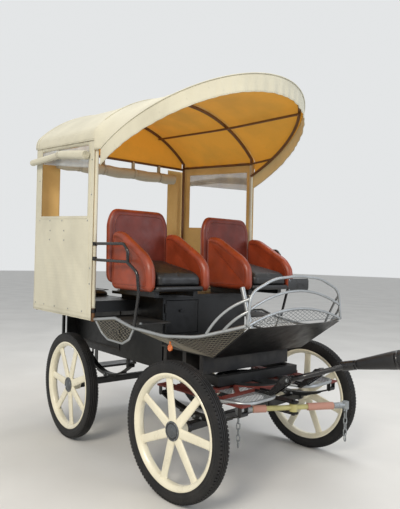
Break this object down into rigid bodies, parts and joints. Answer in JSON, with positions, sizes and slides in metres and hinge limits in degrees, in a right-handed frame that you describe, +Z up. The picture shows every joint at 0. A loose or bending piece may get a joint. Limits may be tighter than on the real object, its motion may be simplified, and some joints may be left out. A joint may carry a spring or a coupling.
{
  "type": "horse drawn carriage",
  "caption": "Open-sided wagonette with a canvas hood on steel hoops, spoked wheels, a steering front carriage, padded draught pole, evener bar and driver's bucket seats.",
  "frame": {"origin": "on the ground below the middle of the whole length, on the body's middle line", "axes": "+X forwards along the body, +Y to the vehicle's left, +Z up"},
  "size_m": [4.8811, 1.8198, 2.9267],
  "materials": {
    "cream_paint": "satin",
    "tyre": "matt",
    "hub_grey": "semi-gloss",
    "black_steel": "satin",
    "silver_paint": "satin metallic",
    "red_oxide": "satin",
    "mesh_grey": "satin",
    "leather_red": "soft sheen",
    "cushion_black": "soft sheen",
    "canvas_cream": "matt",
    "hood_tube_dark": "satin",
    "pad_black": "matt",
    "sleeve_salmon": "matt",
    "bar_yellow": "satin",
    "galvanised": "dull",
    "reflector_orange": "gloss"
  },
  "bodies": {
    "chassis": {"bench_cushions": "cushion_black", "brake_lever": "silver_paint", "canopy_frame": "hood_tube_dark", "canopy_hoops": "hood_tube_dark", "canopy_roof": "canvas_cream", "canopy_visor": "canvas_cream", "chassis_rails": "black_steel", "cross_members": "black_steel", "dash_rails": "silver_paint", "dash_sheets": "mesh_grey", "floors": "black_steel", "grab_rails": "black_steel", "rear_axle": "black_steel", "rear_benches": "cream_paint", "rear_curtain": "canvas_cream", "rear_roll": "canvas_cream", "rear_springs": "black_steel", "rear_step": "black_steel", "seat_box": "black_steel", "seat_cushions": "cushion_black", "seat_platform": "black_steel", "seat_shell_left": "leather_red", "seat_shell_right": "leather_red", "side_curtains": "canvas_cream", "side_meshes": "mesh_grey", "side_plates": "black_steel", "side_reflectors": "reflector_orange", "side_tubes": "silver_paint", "toe_board": "black_steel", "turntable_upper": "black_steel", "window_rolls": "canvas_cream"},
    "front_carriage": {"front_axle": "black_steel", "front_platform": "red_oxide", "front_springs": "black_steel", "front_steps": "silver_paint", "pole_lugs": "silver_paint", "evener_bracket": "black_steel"},
    "wheel_front_right": {"wheel_front_right": "cream_paint", "tyre_front_right": "tyre", "hub_cap_front_right": "hub_grey"},
    "wheel_front_left": {"wheel_front_left": "cream_paint", "tyre_front_left": "tyre", "hub_cap_front_left": "hub_grey"},
    "wheel_rear_right": {"wheel_rear_right": "cream_paint", "tyre_rear_right": "tyre", "hub_cap_rear_right": "hub_grey"},
    "wheel_rear_left": {"wheel_rear_left": "cream_paint", "tyre_rear_left": "tyre", "hub_cap_rear_left": "hub_grey"},
    "pole": {"pole_bar": "silver_paint", "pole_pad": "pad_black", "pole_head": "silver_paint"},
    "evener": {"evener_bar": "bar_yellow", "evener_sleeves": "sleeve_salmon", "evener_ends": "galvanised", "trace_chains": "galvanised"},
    "box_door": {"box_door": "black_steel"}
  },
  "joints": [
    {"name": "steering", "type": "hinge", "parent": "chassis", "child": "front_carriage", "pos_m": [-0.435, 0, 0.65], "axis": [0, 0, 1], "range_deg": [-36, 24]},
    {"name": "front_right_wheel_spin", "type": "hinge", "parent": "front_carriage", "child": "wheel_front_right", "pos_m": [-0.35922, -0.72103, 0.43], "axis": [-0.1045, 0.9945, 0], "continuous": true},
    {"name": "front_left_wheel_spin", "type": "hinge", "parent": "front_carriage", "child": "wheel_front_left", "pos_m": [-0.51078, 0.72103, 0.43], "axis": [-0.1045, 0.9945, 0], "continuous": true},
    {"name": "rear_right_wheel_spin", "type": "hinge", "parent": "chassis", "child": "wheel_rear_right", "pos_m": [-1.816, -0.725, 0.43], "axis": [0, 1, 0], "continuous": true},
    {"name": "rear_left_wheel_spin", "type": "hinge", "parent": "chassis", "child": "wheel_rear_left", "pos_m": [-1.816, 0.725, 0.43], "axis": [0, 1, 0], "continuous": true},
    {"name": "pole_lift", "type": "hinge", "parent": "front_carriage", "child": "pole", "pos_m": [0.03243, 0.04913, 0.745], "axis": [0.1045, -0.9945, 0], "range_deg": [-29, 35]},
    {"name": "evener_swing", "type": "hinge", "parent": "front_carriage", "child": "evener", "pos_m": [-0.06205, 0.0392, 0.52], "axis": [0, 0, 1], "range_deg": [-8, 72]},
    {"name": "box_door_hinge", "type": "hinge", "parent": "chassis", "child": "box_door", "pos_m": [-0.928, -0.4, 1.05], "axis": [0, 0, -1], "range_deg": [0, 90]}
  ]
}
